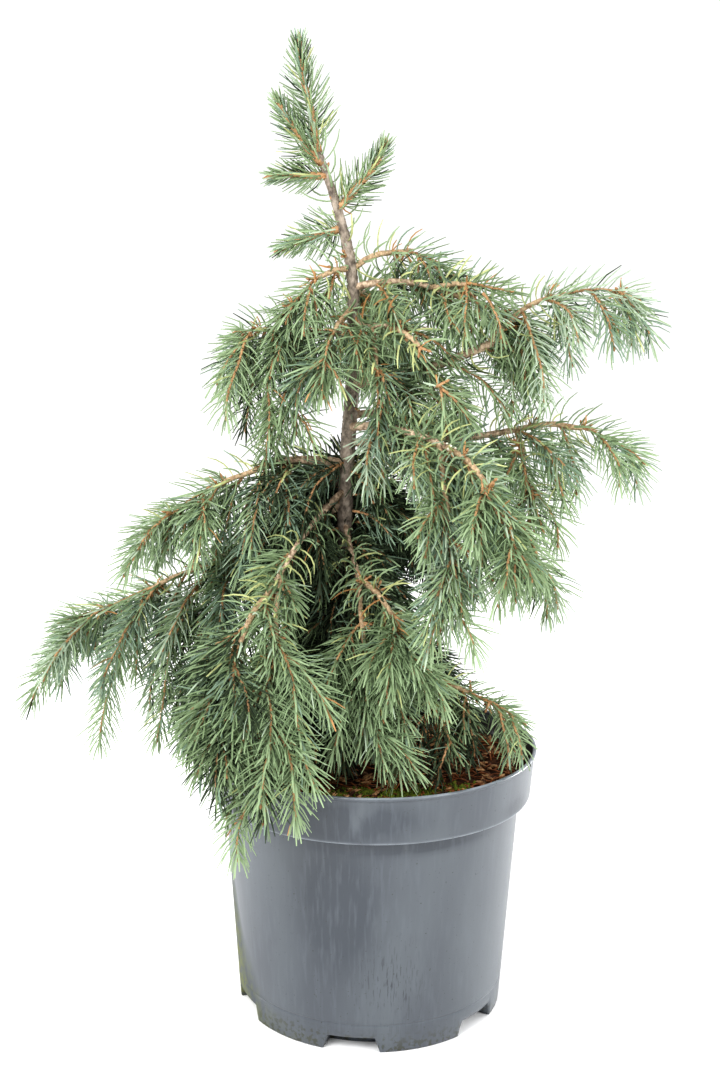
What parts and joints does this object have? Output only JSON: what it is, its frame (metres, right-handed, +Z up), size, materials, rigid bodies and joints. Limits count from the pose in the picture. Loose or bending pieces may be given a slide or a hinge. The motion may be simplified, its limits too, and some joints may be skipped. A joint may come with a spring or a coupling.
{
  "type": "potted brewer spruce",
  "caption": "Young weeping conifer with a bare curved leader, drooping needled shoots on arching boughs, standing in a round nursery pot filled with growing medium.",
  "frame": {"origin": "centre of the pot's flat underside", "axes": "+Z up along the plant's height, -Y towards the viewer of the picture, +X to the viewer's right"},
  "size_m": [0.5429, 0.3757, 0.8067],
  "materials": {
    "pot_plastic": "dark slate grey moulded polypropylene, semi-matt, dusty and scuffed",
    "growing_medium": "dark brown bark and peat mix with shed needles",
    "bark": "thin grey-brown scaly bark",
    "spruce_needles": "slender blue-green needles with pale undersides on orange-brown twigs"
  },
  "bodies": {
    "root": {"bough_back_high": "bark", "bough_back_left": "bark", "bough_back_low": "bark", "bough_back_mid": "bark", "bough_back_right": "bark", "bough_front_high": "bark", "bough_front_left": "bark", "bough_front_low": "bark", "bough_front_right": "bark", "bough_left_high": "bark", "bough_left_low": "bark", "bough_left_mid": "bark", "bough_right_base": "bark", "bough_right_high": "bark", "bough_right_low": "bark", "bough_right_mid": "bark", "foliage_back_high_end": "spruce_needles", "foliage_back_left_end": "spruce_needles", "foliage_back_left_low": "spruce_needles", "foliage_back_low_end": "spruce_needles", "foliage_back_low_left": "spruce_needles", "foliage_back_mid_end": "spruce_needles", "foliage_back_right_end": "spruce_needles", "foliage_back_right_low": "spruce_needles", "foliage_front_base": "spruce_needles", "foliage_front_high_end": "spruce_needles", "foliage_front_high_low": "spruce_needles", "foliage_front_high_right": "spruce_needles", "foliage_front_left_end": "spruce_needles", "foliage_front_left_skirt": "spruce_needles", "foliage_front_low_end": "spruce_needles", "foliage_front_low_mid": "spruce_needles", "foliage_front_right_end": "spruce_needles", "foliage_front_right_low": "spruce_needles", "foliage_leader": "spruce_needles", "foliage_leader_left": "spruce_needles", "foliage_left_base": "spruce_needles", "foliage_left_fan": "spruce_needles", "foliage_left_high_end": "spruce_needles", "foliage_left_high_inner": "spruce_needles", "foliage_left_low_end": "spruce_needles", "foliage_left_low_hang": "spruce_needles", "foliage_left_mid_end": "spruce_needles", "foliage_left_mid_inner": "spruce_needles", "foliage_right_base_end": "spruce_needles", "foliage_right_base_low": "spruce_needles", "foliage_right_high_end": "spruce_needles", "foliage_right_high_side": "spruce_needles", "foliage_right_inner": "spruce_needles", "foliage_right_low_end": "spruce_needles", "foliage_right_low_under": "spruce_needles", "foliage_right_mid_end": "spruce_needles", "foliage_top_right": "spruce_needles", "foliage_upper_front": "spruce_needles", "foliage_upper_left": "spruce_needles", "foliage_upper_left_back": "spruce_needles", "foliage_upper_right_back": "spruce_needles", "growing_medium": "growing_medium", "pot": "pot_plastic", "trunk": "bark"}
  },
  "joints": []
}
